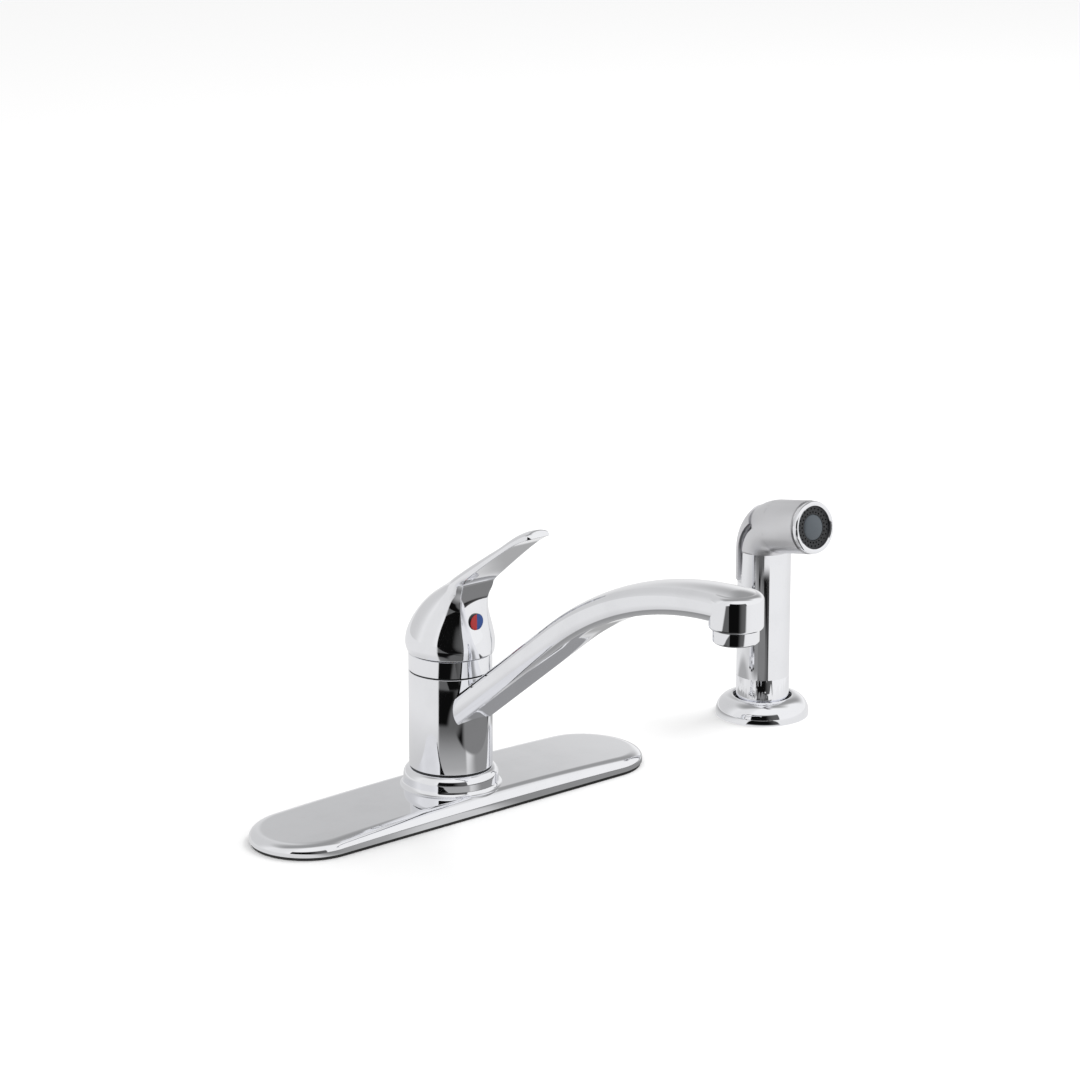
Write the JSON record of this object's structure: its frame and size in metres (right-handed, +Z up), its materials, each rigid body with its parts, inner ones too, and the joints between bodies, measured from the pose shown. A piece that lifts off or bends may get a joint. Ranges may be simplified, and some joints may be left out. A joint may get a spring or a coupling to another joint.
{
  "type": "kitchen faucet",
  "caption": "Single-lever kitchen faucet in polished chrome with a swivelling low-arc spout, a deck plate and a pull-out side spray in its own guide",
  "frame": {"origin": "On the upright body's axis, in the plane of the deck that the plate's gasket and the spray's flange stand on", "axes": "+X along the deck plate towards the side spray, +Y away from the user, +Z up out of the deck; the spout and the lever point to -Y"},
  "size_m": [0.3854, 0.2601, 0.2127],
  "materials": {
    "chrome": "polished",
    "satin_chrome": "satin",
    "steel": "satin",
    "brass": "satin",
    "black_rubber": "matte",
    "black_plastic": "matte",
    "grey_plastic": "satin",
    "white_plastic": "satin",
    "red_blue_plastic": "gloss"
  },
  "bodies": {
    "faucet_base": {"deck_plate": "chrome", "deck_gasket": "black_rubber", "valve_body": "brass", "shank_washer": "steel", "shank_nut": "brass", "plate_studs": "brass", "stud_washers": "steel", "stud_wing_nuts": "brass", "lower_wear_ring": "black_plastic", "upper_wear_ring": "black_plastic", "spout_o_rings": "black_rubber", "bonnet_ring": "chrome", "cartridge_body": "white_plastic", "cartridge_seals": "black_rubber", "cartridge_nut": "brass", "diverter_seat": "black_plastic", "guide_flange": "chrome", "guide_sleeve": "black_plastic", "guide_washer": "steel", "guide_nut": "brass"},
    "diverter": {"diverter_piston": "white_plastic"},
    "spout_arm": {"spout": "chrome", "aerator_washer": "black_rubber", "aerator_insert": "black_plastic", "aerator_housing": "chrome"},
    "carrier": {"cartridge_carrier": "white_plastic", "stem_pivot_pin": "steel"},
    "lever": {"cartridge_stem": "brass", "lever_handle": "chrome", "lever_set_screw": "steel", "temperature_button": "red_blue_plastic"},
    "hose_end": {"hose_collar": "chrome", "hose_nipple": "brass"},
    "spray": {"wand_barrel": "chrome", "wand_head": "satin_chrome", "valve_block": "white_plastic", "valve_spring": "steel", "trigger_pin": "steel", "face_ring": "chrome", "spray_face": "black_plastic", "face_cap": "grey_plastic"},
    "trigger_body": {"trigger": "satin_chrome"},
    "spray_valve": {"valve_stem": "steel"}
  },
  "joints": [
    {"name": "spout_swivel", "type": "hinge", "parent": "faucet_base", "child": "spout_arm", "pos_m": [0, 0, 0.048], "axis": [0, 0, 1], "range_deg": [-60, 60]},
    {"name": "temperature_turn", "type": "hinge", "parent": "faucet_base", "child": "carrier", "pos_m": [0, 0, 0.076], "axis": [0, 0, 1], "range_deg": [-50, 50]},
    {"name": "flow_lift", "type": "hinge", "parent": "carrier", "child": "lever", "pos_m": [0, 0, 0.076], "axis": [-1, 0, 0], "range_deg": [0, 20]},
    {"name": "spray_pull", "type": "slide", "parent": "faucet_base", "child": "hose_end", "axis": [0, 0, 1], "range_m": [0, 0.1]},
    {"name": "spray_turn", "type": "hinge", "parent": "hose_end", "child": "spray", "pos_m": [0.2315, 0, 0.0235], "axis": [0, 0, 1], "continuous": true},
    {"name": "trigger_press", "type": "hinge", "parent": "spray", "child": "trigger_body", "pos_m": [0.2315, 0.00085, 0.11346], "axis": [-1, 0, 0], "range_deg": [0, 3], "stiffness_Nm_per_rad": 0.8, "springref_deg": -5.73},
    {"name": "valve_push", "type": "slide", "parent": "spray", "child": "spray_valve", "axis": [0, -1, 0], "range_m": [0, 0.0014]},
    {"name": "diverter_slide", "type": "slide", "parent": "faucet_base", "child": "diverter", "axis": [0, 0, 1], "range_m": [0, 0.003]}
  ],
  "couplings": [
    {"joint": "valve_push", "follows": "trigger_press", "m_per_rad": 0.0255},
    {"joint": "diverter_slide", "follows": "trigger_press", "m_per_rad": 0.057}
  ]
}
